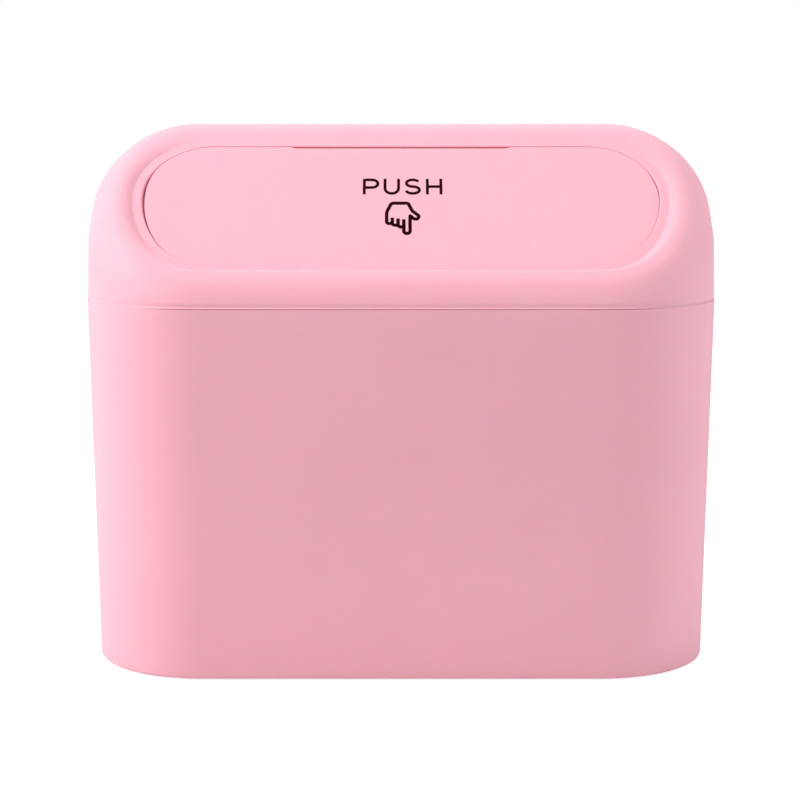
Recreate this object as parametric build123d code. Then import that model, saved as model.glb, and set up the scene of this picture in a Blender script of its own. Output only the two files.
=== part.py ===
from build123d import *

import os
from math import asin, atan2, cos, degrees, hypot, radians, sin, sqrt, tan

# Sizes are in millimetres and angles in degrees.
# X runs across the bin, the front faces -Y and Z is up from the surface that it stands on.

# Outline shared by the bucket, the lid and the rings inside them
seam_width = 205.0  # across the widest level, where the lid meets the bucket
seam_depth = 80.0
front_corner_ease = 1.0  # how far a front corner falls short of a half round
rear_corner_ease = 6.0

# Bucket
foot_proud = 0.6  # how far the foot pads stand out below the bucket
bucket_height = 119.0  # from the underside to the seam
bucket_draft = 1.05
bucket_wall = 2.0
bucket_floor = 2.4
bucket_base_round = 1.2
seam_groove_height = 0.8
seam_groove_depth = 0.8

# Foot pads
pad_radius = 6.0
pad_thickness = 1.4
pad_edge_inset = 15.0  # centre of a pad from the side of the underside, front and back
pad_end_inset = 30.0  # centre of a pad from the end of the underside

# Lid shell
lid_lean = 1.3
lid_wall = 2.0
lid_roof = 2.2
rim_front_rise = 4.55  # from the seam up to the top plane, at the front
rim_slope = 40.0
rim_round = 13.3
rim_run_below_seam = 40.0  # how far the lid's block is carried on below the seam before it is trimmed

# Push flap and the recess around it
flap_end_inset = 19.6  # from the ends of the seam outline to the flap's ends
flap_rear_inset = 28.2  # from the rear of the seam outline to the flap's rear edge
flap_front_inset = 13.3  # from the front of the seam outline to the flap's front edge
flap_slope_extra = 1.4  # how much steeper the flap lies than the rim
flap_rear_corner = 22.0
flap_front_corner = 17.0
flap_end_ease = 12.3  # how much shorter the radius of the flap's ends is than the flap
flap_gap = 0.9
ledge_width = 4.2
ledge_fade = 0.6  # how far in front of the ledge's rear edge the recess has faded out
recess_splay = 50.0  # lean of the recess wall away from the flap's normal
recess_reach = 6.0
flap_plate = 1.8
flap_rim_depth = 2.8
flap_rim_width = 1.6
flap_edge_round = 0.5
rear_relief_depth = 0.5
rear_relief_inset = 8.0  # from a hinge ear to the relief in the flap's rear edge

# Flap carrier
carrier_plate = 1.6
carrier_inset = 1.0
carrier_rib_height = 2.0
carrier_rib_width = 1.4
carrier_rib_end_inset = 25.0
carrier_rib_rear_inset = 19.0
carrier_rib_front_inset = 18.3
stop_tab_reach = 2.8  # how far a tab goes beyond the flap's opening
stop_tab_width = 12.0
stop_tab_front_inset = 46.9  # middle of a front tab from the flap's end

# Hinge
hinge_end_inset = 39.9  # outer face of an ear from the flap's end
hinge_back = 5.0  # axis from the flap's rear edge, down the slope
hinge_drop = 5.5  # axis below the flap's face
pin_radius = 1.5
pin_head_radius = 2.4
pin_head_height = 1.2
pin_running_gap = 0.05
ear_thickness = 3.5
ear_radius = 3.1
spring_side_gap = 0.5
bracket_eye_thickness = 4.0
bracket_eye_radius = 2.8
bracket_plate = 2.2
bracket_plate_width = 20.0
bracket_plate_depth = 9.5
bracket_clearance = 0.6
arm_top_drop = 3.6  # top of a bracket's arm below the flap's face
notch_clearance = 0.7

# Return springs
wire_radius = 0.35
coil_radius = 2.15  # to the middle of the wire
coil_turns = 7
coil_pitch = 0.8
front_leg_reach = 12.0
rear_leg_reach = 12.5

# Screws
screw_core_radius = 1.0
screw_head_radius = 1.9
screw_head_height = 1.2
screw_hole_gap = 0.15
screw_slot_width = 0.5
screw_slot_depth = 0.5
boss_radius = 3.0
screw_end_skin = 0.7  # material left beyond a screw's tip
carrier_screw_end_inset = 52.9
carrier_screw_rear_inset = 11.0
carrier_screw_front_inset = 11.3
bracket_screw_pitch = 11.0

# Rubber stops
stop_width = 8.0
stop_depth = 1.8

# Lid frame
skirt_clearance = 0.3
skirt_wall = 1.8
skirt_depth = 9.0
frame_lift = 0.4  # top of the frame's flange above the seam
frame_flange = 1.6
frame_flange_clearance = 1.4  # flange inside the lid's wall, clear of the rounded front
frame_flange_width = 4.0
end_shelf_clearance = 2.4
column_inset = 10.5  # screw column from the end of the seam outline
column_half_pitch = 13.0
column_screw_depth = 7.0

# Bag ring
ring_gap_below_skirt = 1.5
ring_height = 10.0
ring_wall = 2.2
ring_clearance = 0.5
ring_tab_rise = 7.0
ring_tab_width = 14.0
ring_tab_wall = 1.6
ring_tab_clearance = 0.5
nib_width = 10.0
nib_height = 1.6
nib_proud = 1.3
nib_half_pitch = 45.0
nib_overlap = 1.0

# Levels and insets that follow from the sizes above
base_level = foot_proud
seam_level = base_level + bucket_height
front_corner = seam_depth / 2 - front_corner_ease
rear_corner = seam_depth / 2 - rear_corner_ease
draft_run = bucket_height * tan(radians(bucket_draft))
rim_height = seam_level + rim_front_rise + seam_depth / 2 * tan(radians(rim_slope))
flap_slope = rim_slope + flap_slope_extra
flap_half_width = seam_width / 2 - flap_end_inset
flap_rear_y = seam_depth / 2 - flap_rear_inset
flap_length = (seam_depth - flap_rear_inset - flap_front_inset) / cos(radians(flap_slope))
ear_outer_x = flap_half_width - hinge_end_inset
fade_y = flap_rear_y + (flap_gap + ledge_width - ledge_fade) * cos(radians(flap_slope))
fade_level = rim_height + fade_y * tan(radians(rim_slope))
flap_rear_level = fade_level - (fade_y - flap_rear_y) * tan(radians(flap_slope))
carrier_low = flap_rim_depth + carrier_plate
flange_top = seam_level + frame_lift
flange_low = flange_top - frame_flange
bracket_low = hinge_drop + coil_radius - wire_radius
bracket_high = bracket_low - bracket_plate
bracket_front_y = flap_gap + bracket_clearance
bracket_middle_y = bracket_front_y + bracket_plate_depth / 2
spring_length = coil_turns * coil_pitch
bracket_eye_x = ear_outer_x + spring_length + 2 * wire_radius + 2 * spring_side_gap
bracket_plate_x = bracket_eye_x + bracket_eye_thickness / 2
shelf_edge = flap_half_width + flap_gap + end_shelf_clearance
column_x = seam_width / 2 - column_inset
ring_top = seam_level - skirt_depth - ring_gap_below_skirt
ring_low = ring_top - ring_height
screw_hole_radius = screw_core_radius + screw_hole_gap


def slope_plane(slope, y, level):
    """Plane that rises towards the rear, with its own Y up the slope and its Z outward."""
    normal = (0, -sin(radians(slope)), cos(radians(slope)))
    return Plane(origin=(0, y, level), x_dir=(1, 0, 0), z_dir=normal)


rim_plane = slope_plane(rim_slope, 0, rim_height)
flap_plane = slope_plane(flap_slope, flap_rear_y, flap_rear_level)


def plan_face(inset, flipped=False):
    """Seam outline moved inward, on the ground plane."""
    outline = Rectangle(seam_width - 2 * inset, seam_depth - 2 * inset)
    front, rear = (-1, 0) if flipped else (0, -1)
    outline = fillet(outline.vertices().group_by(Axis.Y)[front], front_corner - inset)
    outline = fillet(outline.vertices().group_by(Axis.Y)[rear], rear_corner - inset)
    return outline


def block_closing_up(inset, low, high, lean):
    """Block on the seam outline, widest at its low end."""
    return Pos(0, 0, low) * extrude(plan_face(inset), amount=high - low, taper=lean)


def block_closing_down(inset, low, high, draft):
    """Block on the seam outline, widest at its high end."""
    block = extrude(plan_face(inset, flipped=True), amount=high - low, taper=draft)
    return Pos(0, 0, high) * Rot(180, 0, 0) * block


def bucket_inset(level):
    """How far the bucket's outside has closed in at a level."""
    return (seam_level - level) * tan(radians(bucket_draft))


def bucket_block(inset, low, high):
    """Block parallel to the bucket's outside."""
    return block_closing_down(inset + bucket_inset(high), low, high, bucket_draft)


def pill_face(offset):
    """Flap outline moved outward by offset, with its rear edge on Y = 0."""
    end_radius = flap_length - flap_end_ease
    straight = flap_length - flap_rear_corner - flap_front_corner
    end_turn = degrees(asin(straight / (end_radius - flap_front_corner)))
    end_x = flap_half_width - end_radius
    rear_x = flap_half_width - flap_rear_corner
    front_x = end_x + (end_radius - flap_front_corner) * cos(radians(end_turn))
    front_y = flap_front_corner - flap_length
    rear_arc = CenterArc((rear_x, -flap_rear_corner), flap_rear_corner + offset, 0, 90)
    end_arc = CenterArc((end_x, -flap_rear_corner), end_radius + offset, -end_turn, end_turn)
    front_arc = CenterArc((front_x, front_y), flap_front_corner + offset, -90, 90 - end_turn)
    half = [rear_arc, end_arc, front_arc]
    other = [edge.mirror(Plane.YZ) for edge in half]
    rear_line = Line((-rear_x, offset), (rear_x, offset))
    front_line = Line((-front_x, -flap_length - offset), (front_x, -flap_length - offset))
    return make_face(Wire([*half, *other, rear_line, front_line]))


def pill_block(offset, high, low):
    """Flap-shaped block between two depths below the flap's face."""
    return Pos(0, 0, -low) * extrude(pill_face(offset), amount=low - high)


def local_box(x_low, x_high, y_low, y_high, low, high):
    """Box between depths below the flap's face, given by its limits."""
    size = Box(x_high - x_low, y_high - y_low, low - high)
    return Pos((x_low + x_high) / 2, (y_low + y_high) / 2, -(low + high) / 2) * size


def along_x(radius, x_low, x_high):
    """Round bar on the hinge axis, in the flap's own frame."""
    bar = Rot(0, 90, 0) * Cylinder(radius, x_high - x_low)
    return Pos((x_low + x_high) / 2, -hinge_back, -hinge_drop) * bar


def mirrored(solid):
    """The same solid on the left side."""
    return mirror(solid, about=Plane.YZ)


def screw(shank_length):
    """Slotted pan head screw that points up, with the underside of its head on Z = 0."""
    head = Pos(0, 0, -screw_head_height / 2) * Cylinder(screw_head_radius, screw_head_height)
    shank = Pos(0, 0, shank_length / 2) * Cylinder(screw_core_radius, shank_length)
    slot = Box(2 * screw_head_radius, screw_slot_width, screw_slot_depth)
    return head + shank - Pos(0, 0, screw_slot_depth / 2 - screw_head_height) * slot


def foot_places():
    """Centres of the foot pads, with a name for each."""
    x = seam_width / 2 - draft_run - pad_end_inset
    y = seam_depth / 2 - draft_run - pad_edge_inset
    return {
        "front_left": (-x, -y),
        "front_right": (x, -y),
        "rear_left": (-x, y),
        "rear_right": (x, y),
    }


def ring_nibs():
    """Small rests inside the bucket, under the bag ring."""
    wall_y = seam_depth / 2 - bucket_inset(ring_low) - bucket_wall
    size = Box(nib_width, nib_proud + nib_overlap, nib_height)
    y = wall_y + (nib_overlap - nib_proud) / 2
    level = ring_low - nib_height / 2
    return [Pos(x, side * y, level) * size for x in (-nib_half_pitch, nib_half_pitch) for side in (-1, 1)]


def make_bucket():
    outside = bucket_block(0, base_level, seam_level)
    outside = fillet(outside.faces().sort_by(Axis.Z)[0].edges(), bucket_base_round)
    hollow = bucket_block(bucket_wall, base_level + bucket_floor, seam_level + bucket_wall)
    hollow = fillet(hollow.faces().sort_by(Axis.Z)[0].edges(), bucket_base_round)
    bucket = outside - hollow
    groove_low = seam_level - seam_groove_height
    groove = bucket_block(-bucket_wall, groove_low, seam_level) - bucket_block(
        seam_groove_depth, groove_low, seam_level
    )
    bucket -= groove
    for nib in ring_nibs():
        bucket += nib
    pocket = Cylinder(pad_radius, 2 * (pad_thickness - foot_proud))
    for x, y in foot_places().values():
        bucket -= Pos(x, y, base_level) * pocket
    return bucket


def make_foot_pads():
    pads = {}
    for name, (x, y) in foot_places().items():
        pads["foot_pad_" + name] = Pos(x, y, pad_thickness / 2) * Cylinder(pad_radius, pad_thickness)
    return pads


def lid_block(inset, roof, rounding):
    """Leaning block under a slanted roof with a rolled edge all round."""
    low = seam_level - rim_run_below_seam
    start_inset = inset - rim_run_below_seam * tan(radians(lid_lean))
    high = rim_height + seam_depth
    block = block_closing_up(start_inset, low, high, lid_lean)
    block = split(block, bisect_by=roof, keep=Keep.BOTTOM)
    top = block.faces().sort_by(lambda face: (face.center() - roof.origin).dot(roof.z_dir))[-1]
    return fillet(top.edges(), rounding)


def above_seam(block):
    return split(block, bisect_by=Plane.XY.offset(seam_level), keep=Keep.TOP)


def column_places():
    """Centres of the screw columns under the lid."""
    return [(x, y) for x in (-column_x, column_x) for y in (-column_half_pitch, column_half_pitch)]


def lid_columns(hollow):
    """Screw columns from the lid's roof down to its frame."""
    height = rim_height + seam_depth - flange_top
    level = flange_top + height / 2
    return [Pos(x, y, level) * Cylinder(boss_radius, height) & hollow for x, y in column_places()]


def bracket_screw_places():
    """Places of the bracket screws on the right, in the flap's own frame."""
    return [(bracket_plate_x + step * bracket_screw_pitch / 2, bracket_middle_y) for step in (-1, 1)]


def make_lid_shell():
    hollow = lid_block(lid_wall, flap_plane.offset(-lid_roof), rim_round - lid_wall)
    shell = above_seam(lid_block(0, rim_plane, rim_round)) - hollow
    opening = pill_block(flap_gap, -recess_reach, lid_roof + recess_reach)
    recess = extrude(pill_face(flap_gap + ledge_width), amount=recess_reach, taper=-recess_splay)
    shell -= flap_plane * recess
    shell -= flap_plane * opening
    for column in lid_columns(hollow):
        shell += column
    for x, y in column_places():
        shell -= Pos(x, y, flange_top) * Cylinder(screw_core_radius, 2 * column_screw_depth)
    boss_height = bracket_high - lid_roof / 2
    pilot_depth = bracket_high - screw_end_skin
    for x, y in bracket_screw_places():
        boss = Pos(x, y, -bracket_high + boss_height / 2) * Cylinder(boss_radius, boss_height)
        pilot = Pos(x, y, -bracket_high + pilot_depth / 2) * Cylinder(screw_core_radius, pilot_depth)
        for side in (boss, mirrored(boss)):
            shell += flap_plane * side
        for side in (pilot, mirrored(pilot)):
            shell -= flap_plane * side
    return shell


def carrier_screws_xy():
    """Places of the screws through the carrier, in the flap's own frame."""
    x = flap_half_width - carrier_screw_end_inset
    front_y = carrier_screw_front_inset - flap_length
    return [(side * x, y) for y in (-carrier_screw_rear_inset, front_y) for side in (-1, 1)]


def make_flap_panel():
    panel = pill_block(0, 0, flap_plate)
    panel = fillet(panel.faces().sort_by(Axis.Z)[-1].edges(), flap_edge_round)
    rim = pill_block(0, flap_plate, flap_rim_depth) - pill_block(-flap_rim_width, flap_plate, flap_rim_depth)
    panel += rim
    for x, y in carrier_screws_xy():
        depth = flap_rim_depth - flap_plate
        panel += Pos(x, y, -flap_plate - depth / 2) * Cylinder(boss_radius, depth)
    for x, y in carrier_screws_xy():
        depth = flap_rim_depth - screw_end_skin
        panel -= Pos(x, y, -flap_rim_depth + depth / 2) * Cylinder(screw_core_radius, depth)
    relief_x = ear_outer_x - rear_relief_inset
    relief = local_box(-relief_x, relief_x, -rear_relief_depth, flap_gap, flap_rim_depth, -flap_gap)
    return flap_plane * (panel - relief)


def stop_tabs():
    """Tongues of the carrier that reach under the ledge at the front and the ends."""
    half = stop_tab_width / 2
    x = flap_half_width - stop_tab_front_inset
    y_low = -flap_length - flap_gap - stop_tab_reach
    front = local_box(x - half, x + half, y_low, half - flap_length, carrier_low, flap_rim_depth)
    x_high = flap_half_width + flap_gap + stop_tab_reach
    y = -flap_rear_corner
    end = local_box(flap_half_width - half, x_high, y - half, y + half, carrier_low, flap_rim_depth)
    return [front, mirrored(front), end, mirrored(end)]


def hinge_notch():
    """Space in the carrier around a bracket's eye and the spring beside it."""
    x_high = bracket_eye_x + bracket_eye_thickness + pin_head_height + notch_clearance
    y_low = -hinge_back - ear_radius - notch_clearance
    low = carrier_low + carrier_plate
    return local_box(ear_outer_x, x_high, y_low, flap_gap, low, flap_rim_depth - carrier_plate)


def hinge_ear():
    """Lug under the carrier that turns on the pin."""
    x_low = ear_outer_x - ear_thickness
    eye = along_x(ear_radius, x_low, ear_outer_x)
    web = local_box(
        x_low, ear_outer_x, -hinge_back - ear_radius, -hinge_back + ear_radius, hinge_drop, flap_rim_depth
    )
    return eye + web


def make_flap_carrier():
    carrier = pill_block(-carrier_inset, flap_rim_depth, carrier_low)
    for tab in stop_tabs():
        carrier += tab
    rib_x = flap_half_width - carrier_rib_end_inset
    rib_low = carrier_low + carrier_rib_height
    half = carrier_rib_width / 2
    for y in (-carrier_rib_rear_inset, carrier_rib_front_inset - flap_length):
        carrier += local_box(-rib_x, rib_x, y - half, y + half, rib_low, carrier_low)
    notch = hinge_notch()
    ear = hinge_ear()
    bore = along_x(pin_radius + pin_running_gap, ear_outer_x - 2 * ear_thickness, ear_outer_x + ear_thickness)
    carrier -= notch
    carrier -= mirrored(notch)
    for solid in (ear, mirrored(ear)):
        carrier += solid
    for solid in (bore, mirrored(bore)):
        carrier -= solid
    for x, y in carrier_screws_xy():
        carrier -= Pos(x, y, -carrier_low) * Cylinder(screw_hole_radius, 4 * carrier_plate)
    return flap_plane * carrier


def make_flap_screws():
    length = carrier_low - screw_end_skin
    return [flap_plane * Pos(x, y, -carrier_low) * screw(length) for x, y in carrier_screws_xy()]


def make_bracket():
    """Bearing block on the right, which hangs under the lid behind the flap."""
    half = bracket_plate_width / 2
    plate = local_box(
        bracket_plate_x - half,
        bracket_plate_x + half,
        bracket_front_y,
        bracket_front_y + bracket_plate_depth,
        bracket_low,
        bracket_high,
    )
    x_high = bracket_eye_x + bracket_eye_thickness
    arm = local_box(
        bracket_eye_x, x_high, -hinge_back, bracket_middle_y, hinge_drop + bracket_eye_radius, arm_top_drop
    )
    bracket = plate + arm + along_x(bracket_eye_radius, bracket_eye_x, x_high)
    bracket -= along_x(pin_radius, bracket_eye_x - pin_radius, x_high + pin_radius)
    for x, y in bracket_screw_places():
        bracket -= Pos(x, y, -bracket_low) * Cylinder(screw_hole_radius, 4 * bracket_plate)
    return bracket


def make_pin():
    """Headed pin on the right, pushed in through the bracket's eye."""
    x_high = bracket_eye_x + bracket_eye_thickness
    shank = along_x(pin_radius, ear_outer_x - ear_thickness, x_high)
    return shank + along_x(pin_head_radius, x_high, x_high + pin_head_height)


def make_bracket_screws():
    length = bracket_low - screw_end_skin
    screws = [Pos(x, y, -bracket_low) * screw(length) for x, y in bracket_screw_places()]
    return [flap_plane * solid for solid in screws + [mirrored(one) for one in screws]]


def make_spring():
    """Torsion spring on the right, with one leg under the carrier and one under the bracket."""
    contact_rise = hinge_drop - carrier_low - wire_radius
    contact_distance = hypot(front_leg_reach, contact_rise)
    leg_length = sqrt(contact_distance**2 - coil_radius**2)
    leg_lift = degrees(atan2(contact_rise, front_leg_reach) + asin(coil_radius / contact_distance))
    turn = 360 * coil_turns + leg_lift
    coil = Helix(coil_pitch, coil_pitch * turn / 360, coil_radius, lefthand=True)
    coil = Rot(0, 90, 0) * coil
    start = coil @ 0
    end = coil @ 1
    rear_leg = Line(start - (coil % 0) * rear_leg_reach, start)
    front_leg = Line(end, end + (coil % 1) * leg_length)
    path = Wire([rear_leg, coil, front_leg])
    section = Plane(origin=path @ 0, z_dir=path % 0) * Circle(wire_radius)
    wire = sweep(section, path=path, is_frenet=True)
    return Pos(ear_outer_x + spring_side_gap + wire_radius, -hinge_back, -hinge_drop) * wire


def stop_places():
    """Middles of the rubber stops on the lid, in the flap's own frame, with their half sizes."""
    across = flap_gap + stop_tab_reach / 2
    x = flap_half_width - stop_tab_front_inset
    front = [(side * x, -flap_length - across, stop_width / 2, stop_depth / 2) for side in (-1, 1)]
    end_x = flap_half_width + across
    ends = [(side * end_x, -flap_rear_corner, stop_depth / 2, stop_width / 2) for side in (-1, 1)]
    return front + ends


def make_stops():
    return [
        flap_plane * local_box(x - half_x, x + half_x, y - half_y, y + half_y, flap_rim_depth, lid_roof)
        for x, y, half_x, half_y in stop_places()
    ]


def band(inset, width, low, high):
    """Ring parallel to the bucket's wall between two levels."""
    return bucket_block(inset, low, high) - bucket_block(inset + width, low, high)


def make_lid_frame():
    skirt = band(bucket_wall + skirt_clearance, skirt_wall, seam_level - skirt_depth, seam_level)
    flange_inset = lid_wall + frame_flange_clearance
    flange = band(flange_inset, frame_flange_width, flange_low, flange_top)
    shelf = bucket_block(flange_inset, flange_low, flange_top)
    shelf -= Pos(0, 0, flange_low) * Box(2 * shelf_edge, seam_depth, 4 * frame_flange)
    frame = skirt + flange + shelf
    for x, y in column_places():
        frame -= Pos(x, y, flange_low) * Cylinder(screw_hole_radius, 4 * frame_flange)
    return frame


def make_frame_screws():
    length = frame_flange + column_screw_depth
    return [Pos(x, y, flange_low) * screw(length) for x, y in column_places()]


def make_bag_ring():
    inset = bucket_wall + ring_clearance
    ring = band(inset, ring_wall, ring_low, ring_top)
    tab_inset = bucket_wall + skirt_clearance + skirt_wall + ring_tab_clearance
    tab_high = ring_top + ring_tab_rise
    tab_band = band(tab_inset, ring_tab_wall, ring_low, tab_high)
    reach = Box(seam_width, ring_tab_width, 4 * tab_high)
    middle = Box(seam_width / 2, seam_depth, 4 * tab_high)
    return ring + ((tab_band & reach) - middle)


def make_parts():
    bracket = make_bracket()
    pin = make_pin()
    spring = make_spring()
    parts = {
        "bucket": make_bucket(),
        "lid_shell": make_lid_shell(),
        "lid_frame": make_lid_frame(),
        "frame_screws": make_frame_screws(),
        "flap_panel": make_flap_panel(),
        "flap_carrier": make_flap_carrier(),
        "flap_screws": make_flap_screws(),
        "hinge_bracket_right": flap_plane * bracket,
        "hinge_bracket_left": flap_plane * mirrored(bracket),
        "bracket_screws": make_bracket_screws(),
        "hinge_pin_right": flap_plane * pin,
        "hinge_pin_left": flap_plane * mirrored(pin),
        "return_spring_right": flap_plane * spring,
        "return_spring_left": flap_plane * mirrored(spring),
        "flap_stops": make_stops(),
        "bag_ring": make_bag_ring(),
    }
    return parts | make_foot_pads()


def write_parts(parts):
    os.makedirs("parts", exist_ok=True)
    for name, solids in parts.items():
        shape = Compound(children=list(solids)) if isinstance(solids, list) else solids
        export_step(shape, "parts/" + name + ".step")


write_parts(make_parts())
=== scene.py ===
import math

import bmesh
import bpy
import numpy as np
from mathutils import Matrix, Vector
from mathutils.bvhtree import BVHTree


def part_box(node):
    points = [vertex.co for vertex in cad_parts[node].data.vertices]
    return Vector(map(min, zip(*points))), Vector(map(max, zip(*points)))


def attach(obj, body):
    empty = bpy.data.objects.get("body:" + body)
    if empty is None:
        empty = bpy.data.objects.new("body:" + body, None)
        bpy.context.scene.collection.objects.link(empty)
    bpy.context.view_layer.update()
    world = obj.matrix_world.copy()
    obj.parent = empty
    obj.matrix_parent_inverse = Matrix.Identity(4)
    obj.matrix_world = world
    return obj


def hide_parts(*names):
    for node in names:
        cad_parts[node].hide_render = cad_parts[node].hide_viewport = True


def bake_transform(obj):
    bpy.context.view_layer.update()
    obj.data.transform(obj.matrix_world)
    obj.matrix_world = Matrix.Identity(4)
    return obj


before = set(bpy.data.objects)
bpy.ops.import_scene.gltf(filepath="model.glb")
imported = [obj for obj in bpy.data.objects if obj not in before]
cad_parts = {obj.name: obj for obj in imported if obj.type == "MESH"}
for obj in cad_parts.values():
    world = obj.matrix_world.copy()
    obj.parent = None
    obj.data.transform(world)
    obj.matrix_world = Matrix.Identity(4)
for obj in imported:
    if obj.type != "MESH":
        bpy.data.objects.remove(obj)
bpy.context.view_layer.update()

mm = 0.001  # the sizes below are in millimetres, and meshes are made in metres
print("frame loaded")


def cornersOf(node):
    return np.array(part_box(node)) / mm


# outline of the bin at the seam, seen from above, with the front towards -Y
binPlan = {
    "width": cornersOf("bucket")[1, 0] * 2 + 0.03,
    "depth": 80.0,
    "frontCorner": 39.0,
    "rearCorner": 34.0,
    "seamLevel": cornersOf("bucket")[1, 2],
    # how open the shadow gap at the seam is, by the way the wall faces, in degrees from the right
    "seamGaps": (
        ((0, 0.8), (35, 0.6), (90, 0.6), (150, 0.4), (185, 0.25), (244, 0.25))
        + ((258, 1.0), (282, 1.0), (296, 0.35), (322, 0.3), (338, 0.8))
    ),
}


def around(normal, places):
    # a value that changes with the way an edge faces
    angles, values = zip(*places)
    return np.interp(np.degrees(np.arctan2(normal[:, 1], normal[:, 0])), angles, values, period=360)


def between(pair, share):
    return pair[0] + (pair[1] - pair[0]) * share


def buildLoop(start, arcs):
    # arcs and the straight lines between them, counterclockwise from a place on a straight line
    pieces, lengths, here = [], [], np.array(start, float)
    for arc in [*arcs, (*start, 0, 0, 0)]:
        centreX, centreY, radius, *angles = arc
        turned = np.radians(angles)
        begin, end = np.stack([centreX + radius * np.cos(turned), centreY + radius * np.sin(turned)], 1)
        line = np.linalg.norm(begin - here)
        if line > 1e-6:
            pieces.append(("line", *here, *begin))
            lengths.append(line)
        if radius:
            pieces.append(("arc", *arc))
            lengths.append(radius * math.radians(angles[1] - angles[0]))
        here = end
    ends = np.cumsum(lengths)
    return {"pieces": pieces, "ends": ends, "starts": ends - lengths, "length": ends[-1]}


def alongLoop(loop, way):
    # points and outward normals at distances along a loop
    way = np.mod(way, loop["length"])
    point = np.zeros((len(way), 2))
    normal = np.zeros((len(way), 2))
    which = np.minimum(np.searchsorted(loop["ends"], way, side="right"), len(loop["pieces"]) - 1)
    for index, (kind, *data) in enumerate(loop["pieces"]):
        here = which == index
        share = (way[here] - loop["starts"][index]) / (loop["ends"][index] - loop["starts"][index])
        if kind == "line":
            a, b = np.array(data[:2]), np.array(data[2:])
            along = (b - a) / np.linalg.norm(b - a)
            point[here] = a + share[:, None] * (b - a)
            normal[here] = (along[1], -along[0])
        else:
            centreX, centreY, radius, start, end = data
            angle = np.radians(start + share * (end - start))
            normal[here] = np.stack([np.cos(angle), np.sin(angle)], 1)
            point[here] = np.array((centreX, centreY)) + radius * normal[here]
    return point, normal


def planLoop(plan):
    halfX, halfY = plan["width"] / 2, plan["depth"] / 2
    front, rear = plan["frontCorner"], plan["rearCorner"]
    corners = [(halfX - front, front - halfY, front), (halfX - rear, halfY - rear, rear)]
    corners += [(-x, y, radius) for x, y, radius in corners[::-1]]
    arcs = [(*corner, 90 * turn - 90, 90 * turn) for turn, corner in enumerate(corners)]
    return buildLoop((0, -halfY), arcs)


binLoop = planLoop(binPlan)


def slopePlane(slope, y, level):
    # a plane that rises towards the rear: its origin, its way up the slope and its way out
    angle = math.radians(slope)
    return {
        "origin": np.array((0, y, level)),
        "up": np.array((0, math.cos(angle), math.sin(angle))),
        "out": np.array((0, -math.sin(angle), math.cos(angle))),
    }


def ontoPlane(plane, flat, height=0.0):
    # places in a plane, and a height over it, to points in space
    height = np.broadcast_to(np.asarray(height, float), (len(flat),))
    across = np.outer(flat[:, 0], (1.0, 0, 0))
    return plane["origin"] + across + np.outer(flat[:, 1], plane["up"]) + np.outer(height, plane["out"])


def fromPlane(plane, points):
    # places in a plane and heights over it, of points in space
    apart = points - plane["origin"]
    return np.stack([apart[:, 0], apart @ plane["up"]], 1), apart @ plane["out"]


def nearestWay(curve, ways, points):
    # how far along a closed curve its nearest place to each point is
    reach = np.roll(curve, -1, 0) - curve
    apart = points[:, None] - curve
    share = np.clip((apart * reach).sum(2) / (reach * reach).sum(1), 0, 1)
    gap = ((apart - share[..., None] * reach) ** 2).sum(2)
    best = gap.argmin(1)
    step = np.roll(ways, -1) - ways
    step[-1] += binLoop["length"]
    rows = np.arange(len(points))
    return ways[best] + share[rows, best] * step[best], np.sqrt(gap[rows, best])


# lid: a wedge with leaning walls, a slanted top and a big soft roll round it
lidShape = {
    "lean": 1.3,
    "wall": 2.0,
    "roof": 2.2,
    "frontRise": 4.55,  # from the seam to the top plane, at the front
    "rimSlope": 40.0,
    "roll": 13.3,
    "frontRoll": 10.4,
    "skinInset": 0.22,  # the wall over the bead at the seam
    "beadRise": 0.72,  # top of the bead above the seam
    "beadHollow": (0.16, 1.2),  # how far the wall dips in over the bead at the front, and how far up
    "beadRound": 0.18,
    "ledgeEnd": 4.0,  # outer edge of the ledge, from the flap's outline
    "crownWidth": (3.6, 4.6),  # soft step from the ledge to the rim, at front and rear, and at the ends
    "crownFoot": 0.08,  # half of the hollow, as a share of the step's width
    "endSwell": 1.1,  # how much the rim swells beside the ends of the flap
    "frontSwell": 1.3,
    "swellRun": 10.0,
    "frontLedge": 0.2,  # how much wider the ledge is at the front
    "crownFullness": 2.3,
    "opening": (0.6, 0.7),  # gap beside the flap's outline, at front and rear, and at the ends
    "openingRound": (0.3, 0.5, 1.0),  # at the rear, at the front and at the ends
    # and the share of it that is left, by the way the edge faces
    "roundShare": ((90, 1), (110, 0.6), (145, 0.6), (160, 1), (270, 1), (300, 0.45), (345, 0.45), (365, 1)),
    "lipDepth": 1.35,  # the lip round the opening is thinner than the roof, for the flap's foot
    "lipWidth": 1.2,
    "rebateEdge": 0.2,
    "beadLift": 0.08,
    "beadFlare": (0.12, 0.2),  # how far the bead stands out, at the ends and at the front
    "columns": 600,
    "trackSteps": 1600,
    "edgeRows": 10,  # rows of the mesh, from the opening outwards
    "ledgeRows": 6,
    "crownRows": 26,
    "crownBunch": 1.7,  # the rows lie closer together at the foot of the step
    "skinRows": 60,
    "beadRows": 10,
    "beadEdgeRows": 6,
    "innerRows": 40,
}

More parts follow.
